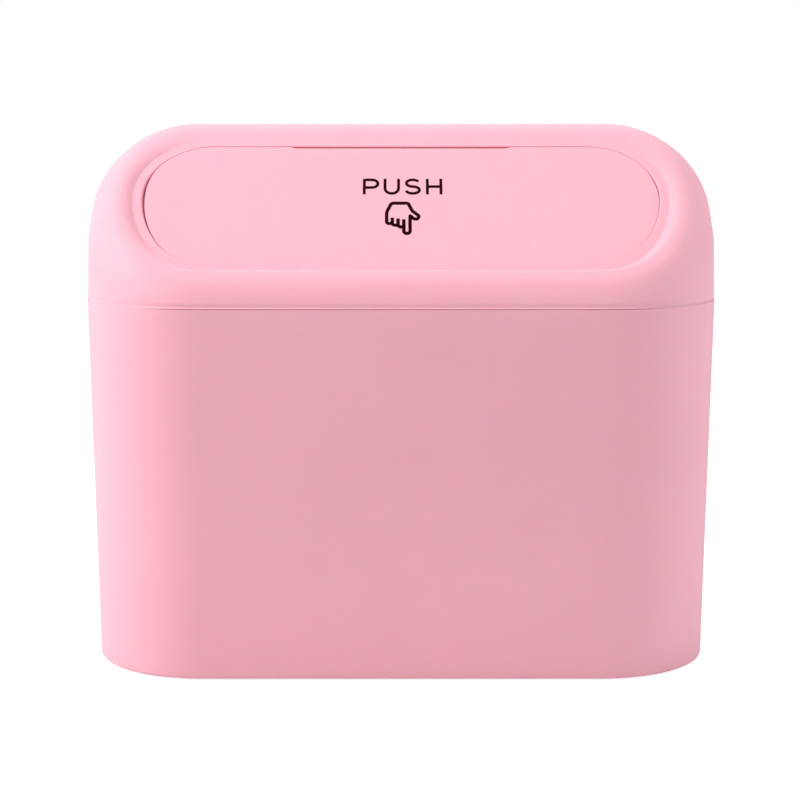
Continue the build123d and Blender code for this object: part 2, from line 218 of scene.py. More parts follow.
# flap: a pill that lies flush in the lid's ledge
flapShape = {
    "rearInset": 28.2,
    "frontInset": 13.3,
    "slopeExtra": 1.4,
    "rearCorner": 22.0,
    "frontCorner": 17.0,
    "endEase": 12.3,
    "solidGap": 0.9,
    "solidLedge": 4.2,
    "plate": 1.8,
    "rimDepth": 2.8,
    "rimWidth": 1.6,
    "edgeRound": 0.16,
    "faceRows": (3.0, 1.5),  # rows of the mesh inside the edge
    "footChamfer": 0.1,
    "foot": (1.2, 2.15, 2.7),  # reach, top and bottom of the foot that laps under the lid's lip
    "footStart": (-6.0, 4.0),  # it begins in front of the hinge and grows over this run
    "ledgeFade": 0.6,
    "reliefWidth": 1.05,  # rebate along the middle of the rear edge
    "reliefDepth": 0.55,
    "rearShift": 0.22,  # how much further back the moulded rear edges lie
    "reliefHalf": 35.0,
    "reliefRun": 5.0,
    # gap to the lid by the way the edge faces, in degrees from the right: the flap hangs off centre
    "gaps": (
        ((0, 0.1), (17, 0.36), (30, 0.16), (45, 0.08), (65, 0.02), (90, 0.15), (115, 0.02), (137, 0.02))
        + ((151, 0.16), (163, 0.52), (180, 0.76), (191, 0.48), (199, 0.32), (206, 0.14), (214, 0.04))
        + ((230, 0.02), (270, 0.04), (330, 0.02), (348, 0.02))
    ),
    "sink": (0.04, 0.42),  # and a little below the ledge, at the rear and at the front
}

flapSlope = lidShape["rimSlope"] + flapShape["slopeExtra"]
slopeCos = math.cos(math.radians(flapSlope))
rimTan = math.tan(math.radians(lidShape["rimSlope"]))
rimHeight = binPlan["seamLevel"] + lidShape["frontRise"] + binPlan["depth"] / 2 * rimTan
flapRearY = binPlan["depth"] / 2 - flapShape["rearInset"]
flapHalf = cornersOf("flap_panel")[1, 0]
flapLength = (binPlan["depth"] - flapShape["rearInset"] - flapShape["frontInset"]) / slopeCos
fadeY = flapRearY + (flapShape["solidGap"] + flapShape["solidLedge"] - flapShape["ledgeFade"]) * slopeCos
fadeLevel = rimHeight + fadeY * rimTan
flapRearLevel = fadeLevel - (fadeY - flapRearY) * math.tan(math.radians(flapSlope))
rimPlane = slopePlane(lidShape["rimSlope"], 0, rimHeight)
flapPlane = slopePlane(flapSlope, flapRearY, flapRearLevel)


def pillLoop(shape):
    rear, front = shape["rearCorner"], shape["frontCorner"]
    end = flapLength - shape["endEase"]
    turn = math.degrees(math.asin((flapLength - rear - front) / (end - front)))
    endX = flapHalf - end
    frontX = endX + (end - front) * math.cos(math.radians(turn))
    right = [(frontX, front - flapLength, front, -90, -turn), (endX, -rear, end, -turn, 0)]
    right.append((flapHalf - rear, -rear, rear, 0, 90))
    left = [(-x, y, radius, 180 - stop, 180 - go) for x, y, radius, go, stop in right[::-1]]
    return buildLoop((0, -flapLength), right + left)


flapLoop = pillLoop(flapShape)
flapWays = np.linspace(0, flapLoop["length"], lidShape["columns"], endpoint=False)
flapEdge, flapNormal = alongLoop(flapLoop, flapWays)
rearShift = flapShape["rearShift"] * np.maximum(flapNormal[:, 1], 0) ** 2


def besideFlap(offset):
    # places beside the flap's outline, at a distance out from it
    return flapEdge + (offset + rearShift)[:, None] * flapNormal


def openingGap():
    # from the flap's outline to the edge of the lid's opening
    return between(lidShape["opening"], flapNormal[:, 0] ** 2)


def quarterTurn(steps):
    # along a rounded edge of radius 1, how far each place lies from its two faces
    angles = np.linspace(0, math.pi / 2, steps)
    return list(zip(1 - np.cos(angles), 1 - np.sin(angles)))


def circlePoints(sides):
    angles = np.linspace(0, 2 * math.pi, sides, endpoint=False)
    return np.column_stack([np.cos(angles), np.sin(angles)])


def addLoft(verts, faces, rows, joined=False):
    # a skin through rings of points, joined last to first or closed at both ends
    base, count = len(verts), len(rows[0])
    verts.extend(np.concatenate(rows) * mm)
    last = len(rows) if joined else len(rows) - 1
    for row in range(last):
        a, b = base + row * count, base + (row + 1) % len(rows) * count
        for column in range(count):
            nextColumn = (column + 1) % count
            faces.append((a + column, a + nextColumn, b + nextColumn, b + column))
    if not joined:
        faces.append(tuple(range(base, base + count)))
        faces.append(tuple(range(base + last * count, base + (last + 1) * count)))


def loft(name, rows, joined=False):
    verts, faces = [], []
    addLoft(verts, faces, rows, joined)
    return meshPiece(name, verts, faces)


def inScene(name, data):
    made = bpy.data.objects.new(name, data)
    bpy.context.scene.collection.objects.link(made)
    return made


def meshPiece(name, verts, faces):
    mesh = bpy.data.meshes.new(name)
    mesh.from_pydata([tuple(v) for v in verts], [], faces)
    work = bmesh.new()
    work.from_mesh(mesh)
    bmesh.ops.recalc_face_normals(work, faces=work.faces)
    work.to_mesh(mesh)
    work.free()
    mesh.shade_smooth()
    mesh.set_sharp_from_angle(angle=math.radians(40))
    return inScene(name, mesh)


def ballTrack(plane, inset):
    # where the centre of a ball runs that rolls between the leaning wall and a roof plane
    ways = np.arange(lidShape["trackSteps"]) * binLoop["length"] / lidShape["trackSteps"]
    return ways, ballCentre(plane, inset, ways)


def ballCentre(plane, inset, ways):
    point, normal = alongLoop(binLoop, ways)
    ease = (lidShape["roll"] - lidShape["frontRoll"]) * np.maximum(-normal[:, 1], 0) ** 2
    radius = (lidShape["roll"] + lidShape["skinInset"] - inset - ease)[:, None]
    lean = math.radians(lidShape["lean"])
    level = np.full(len(ways), binPlan["seamLevel"])
    foot = np.column_stack([point - inset * normal, level])
    face = np.column_stack([normal * math.cos(lean), np.full(len(ways), math.sin(lean))])
    climb = np.column_stack([-normal * math.tan(lean), np.ones(len(ways))])
    start = foot - radius * face - plane["origin"]
    rise = (-radius[:, 0] - start @ plane["out"]) / (climb @ plane["out"])
    centre = foot + rise[:, None] * climb - radius * face
    return {"centre": centre, "face": face, "climb": climb, "normal": normal, "radius": radius[:, 0]}


def rolledSkin(plane, inset, starts, endLevel, count):
    # rings from places on the roof plane, out over the rolled edge and down the wall to a level
    ways, track = ballTrack(plane, inset)
    curve = fromPlane(plane, track["centre"])[0]
    way = nearestWay(curve, ways, starts)[0]
    ball = ballCentre(plane, inset, way)
    radius = ball["radius"]
    out = plane["out"]
    across = ball["face"] - (ball["face"] @ out)[:, None] * out
    across /= np.linalg.norm(across, axis=1)[:, None]
    full = np.arccos(np.clip(ball["face"] @ out, -1, 1))
    apart = ontoPlane(plane, starts) - ontoPlane(plane, fromPlane(plane, ball["centre"])[0])
    beyond = (apart * across).sum(1)
    first = np.arcsin(np.clip(beyond / radius, 0, 1))
    flat = np.maximum(-beyond, 0)

    def levelAt(angle):
        return ball["centre"][:, 2] + radius * (out[2] * np.cos(angle) + across[:, 2] * np.sin(angle))

    low, high = first.copy(), full.copy()
    halvings = 40
    for _ in range(halvings):
        middle = (low + high) / 2
        above = levelAt(middle) > endLevel
        low = np.where(above, middle, low)
        high = np.where(above, high, middle)
    last = np.where(levelAt(full) >= endLevel, full, high)
    drop = np.maximum(levelAt(full) - endLevel, 0) / ball["climb"][:, 2]
    wallLength = drop * np.linalg.norm(ball["climb"], axis=1)
    arc = radius * (last - first)
    whole = flat + arc + wallLength
    rings = []
    for share in np.linspace(0, 1, count):
        gone = share * whole
        onFlat = np.maximum(flat - gone, 0)
        angle = first + np.clip(gone - flat, 0, arc) / radius
        turned = np.cos(angle)[:, None] * out + np.sin(angle)[:, None] * across
        ring = ball["centre"] + radius[:, None] * turned
        ring -= onFlat[:, None] * across
        down = np.clip(gone - flat - arc, 0, None) / np.maximum(wallLength, 1e-9) * drop
        ring -= down[:, None] * ball["climb"]
        rings.append(ring)
    return rings, np.column_stack([ball["normal"], np.zeros(len(way))])


rimTrack = ballTrack(rimPlane, lidShape["skinInset"])


def roofHeight(flat):
    # height of the lid's unbroken outside over the flap plane
    ways, track = rimTrack
    curve = fromPlane(rimPlane, track["centre"])[0]
    tilt = flapPlane["out"] @ rimPlane["out"]
    height = np.zeros(len(flat))
    for _ in range(2):
        place, over = fromPlane(rimPlane, ontoPlane(flapPlane, flat, height))
        way, away = nearestWay(curve, ways, place)
        centre = ballCentre(rimPlane, lidShape["skinInset"], way)
        radius = centre["radius"]
        middle = fromPlane(rimPlane, centre["centre"])[0]
        outside = ((place - middle) * centre["normal"][:, :2]).sum(1) > 0
        away = np.where(outside, np.minimum(away, radius), 0)
        surface = np.sqrt(radius**2 - away**2) - radius
        height -= (over - surface) / tilt
    return height


def smooth(value):
    value = np.clip(value, 0, 1)
    return value * value * value * (value * (6 * value - 15) + 10)


def crownShare(along):
    # rise of the soft step: a small hollow at its foot, then a long round shoulder
    foot = lidShape["crownFoot"]
    along = (along + foot) ** 2 / (4 * foot) if along < foot else along
    return 1 - (1 - min(along, 1)) ** lidShape["crownFullness"]


def makeLidShell():
    shape = lidShape
    seam = binPlan["seamLevel"]
    sideways = flapNormal[:, 0] ** 2
    rearward, forward = np.maximum(flapNormal[:, 1], 0) ** 2, np.maximum(-flapNormal[:, 1], 0) ** 2
    gap = openingGap()
    ledgeEnd = shape["ledgeEnd"] + shape["frontLedge"] * forward
    crownWidth = between(shape["crownWidth"], sideways)
    soft = np.column_stack([rearward, forward, sideways]) @ shape["openingRound"]
    soft = soft * around(flapNormal, shape["roundShare"])
    swell = shape["endSwell"] * np.abs(flapNormal[:, 0]) ** 1.5
    swell = swell + shape["frontSwell"] * forward
    rings = []
    # opening: up its wall, round its edge and out over the ledge and the soft step
    rings.append(ontoPlane(flapPlane, besideFlap(gap), -shape["lipDepth"]))
    offsets = []
    for over, under in quarterTurn(shape["edgeRows"]):
        offsets.append((gap + soft * over, -soft * under, 0))
    foot = shape["crownFoot"]
    for step in np.linspace(0.04, 1, shape["ledgeRows"]):
        offsets.append(((gap + soft) * (1 - step) + (ledgeEnd - foot * crownWidth) * step, 0.0, 0))
    for step in np.linspace(0, 1, shape["crownRows"])[1:]:
        along = step ** shape["crownBunch"] * (1 + foot) - foot
        offsets.append((ledgeEnd + crownWidth * along, 0.0, crownShare(along)))
    for offset, sink, share in offsets:
        flat = besideFlap(offset)
        roof = roofHeight(flat)
        height = (1 - share) * np.minimum(roof, 0) + share * (roof + swell) + sink
        rings.append(ontoPlane(flapPlane, flat, height))
    # outside of the rim, the roll and the wall, then the bead at the seam
    starts = fromPlane(rimPlane, ontoPlane(flapPlane, flat, roof))[0]
    beadTop = seam + shape["beadRise"]
    skin, outward = rolledSkin(rimPlane, shape["skinInset"], starts, beadTop, shape["skinRows"])
    hollow, hollowRun = shape["beadHollow"]
    hollow = hollow * np.maximum(-outward[:, 1], 0)
    for ring in skin[1:]:
        away = np.linalg.norm(ring - skin[0], axis=1)
        lift = swell * (1 - smooth(away / shape["swellRun"]))
        dip = hollow * smooth((beadTop + hollowRun - ring[:, 2]) / hollowRun)
        rings.append(ring + lift[:, None] * flapPlane["out"] - dip[:, None] * outward)
    flare = between(shape["beadFlare"], np.maximum(-outward[:, 1], 0))
    openShare = around(outward, binPlan["seamGaps"])
    beadLow, beadSoft = seam + shape["beadLift"] * openShare, shape["beadRound"] * openShare
    for step in np.linspace(0, 1, shape["beadRows"])[1:]:
        level = beadTop - step * (beadTop - beadLow - beadSoft)
        ring = rolledSkin(rimPlane, shape["skinInset"], starts, level, 2)[0][-1]
        rings.append(ring + (smooth(step) * (flare + hollow) - hollow)[:, None] * outward)
    edge = rings[-1]
    for over, under in quarterTurn(shape["beadEdgeRows"])[1:]:
        ring = edge - (beadSoft * over)[:, None] * outward
        ring[:, 2] = beadLow + beadSoft * under
        rings.append(ring)
    # inside: up the wall, over to the opening and up into the rebate under its lip
    lip = gap + shape["lipWidth"]
    underPlane = dict(flapPlane, origin=flapPlane["origin"] - shape["roof"] * flapPlane["out"])
    inner = rolledSkin(underPlane, shape["wall"], besideFlap(lip), seam, shape["innerRows"])[0]
    rings += inner[::-1]
    for depth in (shape["roof"] - shape["rebateEdge"], shape["lipDepth"]):
        rings.append(ontoPlane(flapPlane, besideFlap(lip), -depth))
    lid = loft("lidShell", rings, joined=True)
    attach(lid, "lid")
    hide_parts("lid_shell")
    return lid


lidShell = makeLidShell()
print("lid shell made,", len(lidShell.data.vertices), "points")


# screw posts inside the lid: four long columns for the frame, and four bosses for the hinge brackets
postShape = {
    "radius": 3.0,
    "bore": 1.05,
    "edge": 0.35,
    "sunk": 0.8,  # how far a post runs up into the roof
    "sides": 40,
    "columnPlace": (92.0, 13.0),
    "columnLift": 0.4,
    "columnBore": 7.0,
    "bossRow": 6.25,  # up the slope from the flap's rear edge
    "bossStep": 5.5,  # to each side of the middle of its bracket
    "bossLow": 5.1,  # below the flap's face
    "bossBore": 4.4,
}


def addPost(verts, faces, toSpace, centre, low, top, depth):
    circle = circlePoints(postShape["sides"])
    radius, bore, edge = postShape["radius"], postShape["bore"], postShape["edge"]
    profile = [(radius, top), (radius, low + edge), (radius - edge, low), (bore + edge, low)]
    profile += [(bore, low + edge), (bore, low + depth)]
    rings = []
    for reach, level in profile:
        rings.append(toSpace(centre + reach * circle, np.broadcast_to(level, (len(circle),))))
    addLoft(verts, faces, rings)


def makeLidPosts():
    mesh = lidShell.data
    tree = BVHTree.FromPolygons([v.co for v in mesh.vertices], [f.vertices[:] for f in mesh.polygons])
    start = (binPlan["seamLevel"] + 1) * mm

    def ceiling(flat):
        hits = [tree.ray_cast(Vector((x * mm, y * mm, start)), Vector((0, 0, 1)))[0] for x, y in flat]
        return np.array([hit.z for hit in hits]) / mm

    def upright(flat, level):
        return np.column_stack([flat, level])

    def slanted(flat, level):
        return ontoPlane(flapPlane, flat, level)

    verts, faces = [], []
    columnX, columnY = postShape["columnPlace"]
    low = binPlan["seamLevel"] + postShape["columnLift"]
    rim = postShape["radius"] * circlePoints(postShape["sides"])
    for x in (-columnX, columnX):
        for y in (-columnY, columnY):
            centre = np.array((x, y))
            top = ceiling(centre + rim) + postShape["sunk"]
            addPost(verts, faces, upright, centre, low, top, postShape["columnBore"])
    for node in ("hinge_bracket_left", "hinge_bracket_right"):
        middleX = cornersOf(node)[:, 0].mean()
        for step in (-postShape["bossStep"], postShape["bossStep"]):
            centre = np.array((middleX + step, postShape["bossRow"]))
            low, top = -postShape["bossLow"], postShape["sunk"] - lidShape["roof"]
            addPost(verts, faces, slanted, centre, low, top, postShape["bossBore"])
    posts = meshPiece("lidPosts", verts, faces)
    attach(posts, "lid")
    return posts


lidPosts = makeLidPosts()
print("lid posts made")


def makeFlapPanel():
    shape = flapShape
    window = smooth((shape["reliefHalf"] - np.abs(flapEdge[:, 0])) / shape["reliefRun"] + 0.5)
    relief = shape["reliefWidth"] * window * (flapNormal[:, 1] > 0.99)
    edge = openingGap() - around(flapNormal, shape["gaps"])
    soft = shape["edgeRound"]
    # offset from the edge, depth under the face and share of the relief
    profile = [(-row, 0.0, 1) for row in shape["faceRows"]]
    for down, inward in quarterTurn(7):
        profile.append((edge - soft * inward, soft * down, 1))
    profile += [(edge, shape["reliefDepth"], 1), (edge, shape["reliefDepth"] + 0.05, 0)]
    reach, footTop, footLow = shape["foot"]
    start, run = shape["footStart"]
    foot = edge + (reach - edge) * smooth((start - flapEdge[:, 1]) / run)
    chamfer = shape["footChamfer"]
    profile += [(edge, footTop - chamfer, 0), (foot, footTop, 0)]
    profile += [(foot, footLow, 0), (edge, footLow + chamfer, 0)]
    profile += [(edge, shape["rimDepth"], 0), (-shape["rimWidth"], shape["rimDepth"], 0)]
    profile += [(-shape["rimWidth"], shape["plate"], 0), (-2 * shape["rimWidth"], shape["plate"], 0)]
    rings = []
    for offset, depth, share in profile:
        flat = besideFlap(offset - share * relief)
        sink = between(shape["sink"], -flat[:, 1] / flapLength)
        fade = 1 - depth / shape["rimDepth"]
        rings.append(ontoPlane(flapPlane, flat, -depth - fade * sink))
    panel = loft("flapPanel", rings)
    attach(panel, "flap")
    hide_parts("flap_panel")
    return panel


flapPanel = makeFlapPanel()
print("flap made")

# bucket: a tapered tub, open at the top
bucketShape = {
    "draft": 1.05,
    "wall": 2.0,
    "floor": 2.4,
    "baseRound": 1.2,
    "rimDrop": 0.06,  # with the lid's lift, a shadow gap at the seam
    "rimRound": 0.22,
    "landDepth": 0.4,  # rebate outside the land that the lid stands on
    "landEdge": 0.2,
    "innerTop": 0.5,  # below the seam
    "columns": 600,
    "wallRows": 24,
}


def binRing(inset, level, count):
    ways = np.linspace(0, binLoop["length"], count, endpoint=False)
    point, normal = alongLoop(binLoop, ways)
    return np.column_stack([point - np.reshape(inset, (-1, 1)) * normal, np.broadcast_to(level, (count,))])


def makeBucket():
    shape = bucketShape
    seam = binPlan["seamLevel"]
    base = cornersOf("bucket")[0, 2]
    taper = math.tan(math.radians(shape["draft"]))
    wall, turn, rows = shape["wall"], shape["baseRound"], shape["wallRows"]
    floorLevel = base + shape["floor"]
    ways = np.linspace(0, binLoop["length"], shape["columns"], endpoint=False)
    openShare = around(alongLoop(binLoop, ways)[1], binPlan["seamGaps"])
    top, rimSoft = seam - shape["rimDrop"] * openShare, shape["rimRound"] * openShare

    def outside(level):
        return (seam - level) * taper

    profile = [(outside(base) + 2 * turn, base), (outside(base) + 1.5 * turn, base)]
    for up, inward in quarterTurn(9):
        level = base + turn * up
        profile.append((outside(level) + turn * inward, level))
    profile += [(outside(level), level) for level in np.linspace(base + 2 * turn, top - rimSoft, rows)]
    for inward, down in quarterTurn(7)[1:]:
        level = top - rimSoft * down
        profile.append((outside(level) + rimSoft * inward, level))
    land, edge = shape["landDepth"], shape["landEdge"]
    profile += [(land, top), (land, seam), (wall - edge, seam), (wall, seam - edge)]
    levels = np.linspace(seam - shape["innerTop"], floorLevel + 2 * turn, rows)
    profile += [(outside(level) + wall, level) for level in levels]
    for up, inward in quarterTurn(9)[::-1]:
        level = floorLevel + turn * up
        profile.append((outside(level) + wall + turn * inward, level))
    profile.append((outside(base) + wall + 2 * turn, floorLevel))
    rings = [binRing(inset, level, shape["columns"]) for inset, level in profile]
    tub = loft("bucketTub", rings)
    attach(tub, "base")
    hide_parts("bucket")
    return tub


bucketTub = makeBucket()
print("bucket made")

# rests for the bag ring inside the bucket, with slanted undersides
nibShape = {
    "across": (-45.0, 45.0),
    "width": 10.0,
    "proud": 1.3,
    "sunk": 1.0,
    "height": 1.6,
    "edge": 0.3,
}


def makeRingRests():
    taper = math.tan(math.radians(bucketShape["draft"]))
    top = cornersOf("bag_ring")[0, 2]
    wallY = binPlan["depth"] / 2 - (binPlan["seamLevel"] - top) * taper - bucketShape["wall"]
    proud, edge, low = wallY - nibShape["proud"], nibShape["edge"], top - nibShape["height"]
    section = [(wallY + nibShape["sunk"], top), (proud + edge, top), (proud, top - edge)]
    section += [(proud, low + 2 * edge), (proud + edge, low + edge), (wallY + nibShape["sunk"], low)]
    ends = [(0, 0.9), (edge, 1.0), (nibShape["width"] - edge, 1.0), (nibShape["width"], 0.9)]
    verts, faces = [], []
    for middle in nibShape["across"]:
        for side in (-1, 1):
            rings = []
            for along, share in ends:
                x = middle - nibShape["width"] / 2 + along
                rings.append(np.array([(x, side * (wallY + (y - wallY) * share), z) for y, z in section]))
            addLoft(verts, faces, rings)
    rests = meshPiece("ringRests", verts, faces)
    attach(rests, "base")
    return rests


ringRests = makeRingRests()

# foot pads: turned rubber discs with a rounded edge and two shallow grooves
padShape = {
    "edge": 0.4,
    "topEdge": 0.1,
    "middle": 0.2,
    "grooves": (4.4, 2.4),
    "grooveWidth": 0.5,
    "grooveDepth": 0.25,
    "sides": 64,
}


def makeFootPad(node):
    low, high = cornersOf(node)
    radius, edge = (high[0] - low[0]) / 2, padShape["edge"]
    centre = (low + high) / 2
    top, middle = padShape["topEdge"], padShape["middle"]
    profile = [(middle, high[2]), (radius - top, high[2]), (radius, high[2] - top)]
    for inward, up in quarterTurn(6):
        profile.append((radius - edge * inward, low[2] + edge * up))
    for groove in padShape["grooves"]:
        half = padShape["grooveWidth"] / 2
        profile += [(groove + half, low[2]), (groove + half / 2, low[2] + padShape["grooveDepth"])]
        profile += [(groove - half / 2, low[2] + padShape["grooveDepth"]), (groove - half, low[2])]
    profile.append((middle, low[2]))
    circle = circlePoints(padShape["sides"])
    rings = []
    for reach, level in profile:
        rings.append(np.column_stack([centre[:2] + reach * circle, np.full(len(circle), level)]))
    pad = loft(node.replace("foot_pad", "rubberPad"), rings)
    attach(pad, "base")
    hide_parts(node)
    return pad


padCorners = ("front_left", "front_right", "rear_left", "rear_right")
footPads = [makeFootPad("foot_pad_" + corner) for corner in padCorners]
print("ring rests and foot pads made")

# return springs: turns of wire round the hinge, with a leg under the bracket and a leg under the flap
springShape = {
    "wire": 0.35,
    "coil": 2.15,  # to the middle of the wire
    "pitch": 0.8,
    "rearLeg": 12.5,
    "frontLeg": 11.8,
    "axis": (-5.0, -5.5),  # of the hinge, up the slope from the flap's rear edge and over its face
    "sides": 14,
    "turnSteps": 300,
    "legSteps": 8,
    "legStart": 0.1,  # from the end of the turns
}


springRise = springShape["pitch"] / (2 * math.pi)


def springPath(low, high):
    # middle of the wire in the flap's own frame, with the turns from low to high
    radius, rise = springShape["coil"], springRise
    turns = np.linspace(0, (high - low) / rise, springShape["turnSteps"])
    coil = np.column_stack([low + rise * turns, -radius * np.sin(turns), -radius * np.cos(turns)])
    ways = np.column_stack([np.full(len(turns), rise), -radius * np.cos(turns), radius * np.sin(turns)])
    ways /= math.hypot(radius, rise)
    near, steps = springShape["legStart"], springShape["legSteps"]
    rear = coil[0] - np.outer(np.linspace(springShape["rearLeg"], near, steps), ways[0])
    front = coil[-1] + np.outer(np.linspace(near, springShape["frontLeg"], steps), ways[-1])
    return np.concatenate([rear, coil, front]) + (0, *springShape["axis"])


def makeSpring(node, side):
    wire = springShape["wire"]
    corners = sorted(abs(cornersOf(node)[:, 0]))
    lean = springRise / math.hypot(springShape["coil"], springRise)
    low = corners[0] + wire + lean * springShape["rearLeg"]
    high = corners[1] - wire - lean * springShape["frontLeg"]
    path = springPath(low, high) * (side, 1, 1)
    ways = np.gradient(path, axis=0)
    ways /= np.linalg.norm(ways, axis=1)[:, None]
    circle = circlePoints(springShape["sides"])
    across = np.array((1.0, 0, 0))
    rings = []
    for place, way in zip(path, ways):
        across = across - (across @ way) * way
        across /= np.linalg.norm(across)
        ring = place + wire * circle @ np.stack([across, np.cross(way, across)])
        rings.append(ontoPlane(flapPlane, ring[:, :2], ring[:, 2]))
    spring = loft(node.replace("return_spring", "turnedSpring"), rings)
    # the turns wind up as the flap swings
    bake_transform(spring)
    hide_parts(node)
    return spring


springs = [makeSpring("return_spring_right", 1), makeSpring("return_spring_left", -1)]
print("springs made")

# print on the flap: the word and a pressing hand, as thin ink
inkPrint = {
    "stroke": 0.95,
    "handStroke": 1.12,
    "height": 0.02,
    "thickness": 0.05,
    "slitSink": 0.004,  # under the outline of the hand
    "penTall": 1.28,  # the pen is taller than it is wide, up the slope
    "wordTop": -14.27,
    "wordBase": -21.43,
    "letterWidth": 5.35,
    "letterStarts": (-12.4, -5.67, 1.13, 8.1),
    "bowlRound": 2.0,  # of the P
    "bowlFoot": 3.15,  # above the foot of the word
    "cupRound": 2.3,  # of the U
}


def arcPoints(centreX, centreY, radiusX, radiusY, start, end, count=20):
    angles = np.radians(np.linspace(start, end, count))
    return [(centreX + radiusX * math.cos(a), centreY + radiusY * math.sin(a)) for a in angles]


def roundedPath(points, radius):
    # a closed path whose corners are rounded
    points = [np.array(p, float) for p in points]
    path = []
    for index, here in enumerate(points):
        sides = [points[index - 1] - here, points[(index + 1) % len(points)] - here]
        lengths = [np.linalg.norm(side) for side in sides]
        reach = min(radius, *(length * 0.45 for length in lengths))
        a, b = (here + side / length * reach for side, length in zip(sides, lengths))
        for share in np.linspace(0, 1, 7):
            path.append((1 - share) ** 2 * a + 2 * share * (1 - share) * here + share**2 * b)
    return path


def inkStroke(path, width, closed, height, verts, faces):
    # a flat ribbon along a path on the flap's face, with a little thickness
    path = np.array(path, float)
    apart = np.linalg.norm(np.diff(path, axis=0), axis=1)
    path = path[np.append(True, apart > 1e-4)]
    count = len(path)
    second = np.roll(path, -1, 0) - path
    if not closed:
        second[-1] = second[-2]
    second /= np.linalg.norm(second, axis=1)[:, None]
    first = np.roll(second, 1, 0)
    if not closed:
        first[0] = second[0]
    side = (first + second)[:, ::-1] * (-1, 1)
    side /= np.linalg.norm(side, axis=1)[:, None]
    facing = first[:, ::-1] * (-1, 1)
    side /= np.maximum((side * facing).sum(1), 0.4)[:, None]
    side *= (width / 2, width / 2 * inkPrint["penTall"])
    left, right = path + side, path - side
    base = len(verts)
    low = height - inkPrint["thickness"]
    # up the left side, over the top and down the right side
    for flat, over in ((left, low), (left, height), (right, height), (right, low)):
        sink = between(flapShape["sink"], -flat[:, 1] / flapLength)
        verts.extend(ontoPlane(flapPlane, flat, over - sink) * mm)
    for index in range(count if closed else count - 1):
        after = (index + 1) % count
        for row in range(3):
            a, b = base + row * count, base + (row + 1) * count
            faces.append((a + index, b + index, b + after, a + after))
    if not closed:
        for index in (0, count - 1):
            faces.append(tuple(base + index + row * count for row in range(4)))


def wordPaths():
    inner = inkPrint["stroke"] / 2
    high, base = inkPrint["wordTop"], inkPrint["wordBase"]
    top, low = high - inner, base + inner
    width = inkPrint["letterWidth"] - inkPrint["stroke"]
    p, u, s, h = (start + inner for start in inkPrint["letterStarts"])
    bowl, bend = (top - (base + inkPrint["bowlFoot"])) / 2, (top - low) / 4
    cup = inkPrint["cupRound"]
    bowlX, bowlLow = p + width - inkPrint["bowlRound"], top - 2 * bowl
    bowlBend = arcPoints(bowlX, top - bowl, inkPrint["bowlRound"], bowl, 88, -88)
    cupBend = arcPoints(u + width / 2, low + cup, width / 2, cup, 180, 360)
    upperBend = arcPoints(s + width / 2, top - bend, width / 2 - 0.15, bend, 28, 245)
    lowerBend = arcPoints(s + width / 2, low + bend, width / 2, bend, 65, -168)
    return [
        [(p, base), (p, high)],
        [(p + inner, top), (bowlX, top), *bowlBend, (bowlX, bowlLow), (p + inner, bowlLow)],
        [(u, high), (u, low + cup), *cupBend, (u + width, high)],
        upperBend + lowerBend,
        [(h, base), (h, high)],
        [(h + width, base), (h + width, high)],
        [(h + inner, (top + low) / 2), (h + width - inner, (top + low) / 2)],
    ]


def handPaths():
    # wrist at the top, thumb to the right, three curled fingers and one that presses
    outline = [(-3.1, -25.4), (2.3, -25.4), (3.6, -28.9), (5.9, -31.2), (5.3, -32.6)]
    outline += [(4.0, -32.4), (2.9, -30.8)]
    outline += arcPoints(1.9, -37.9, 1.0, 1.0, 0, -180, 9)
    pitch, rise, halfFinger, foot, slitTop = 1.85, 0.75, 0.9, -35.3, -32.6
    slits = []
    for step in range(3):
        tip = foot + rise * step
        outline += arcPoints(-pitch * step, tip, halfFinger, rise, 0, -180, 7)
        side = halfFinger - pitch * step
        slits.append([(side, tip), (side, slitTop + 0.35 * step)])
    outline += [(-4.6, -29.4)]
    return roundedPath(outline, 0.7), slits


def makePrint():
    height, pen = inkPrint["height"], inkPrint["handStroke"]
    verts, faces = [], []
    for path in wordPaths():
        inkStroke(path, inkPrint["stroke"], False, height, verts, faces)
    word = meshPiece("pushWord", verts, faces)
    verts, faces = [], []
    outline, slits = handPaths()
    inkStroke(outline, pen, True, height, verts, faces)
    for slit in slits:
        inkStroke(slit, pen, False, height - inkPrint["slitSink"], verts, faces)
    hand = meshPiece("pushHand", verts, faces)
    for piece in (word, hand):
        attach(piece, "flap")
    return word, hand


pushWord, pushHand = makePrint()
print("print made")


def setSockets(node, sockets):
    for name, value in sockets.items():
        node.inputs[name].default_value = value


def nodeIn(tree, kind, sockets=None, **values):
    # a node with its settings, and the values of its sockets
    node = tree.nodes.new(kind)
    for key, value in values.items():
        setattr(node, key, value)
    setSockets(node, sockets or {})
    return node


def joinUp(tree, *joints):
    # each joint runs from an output of one node to an input of another
    for source, output, target, entry in joints:
        tree.links.new(source.outputs[output], target.inputs[entry])


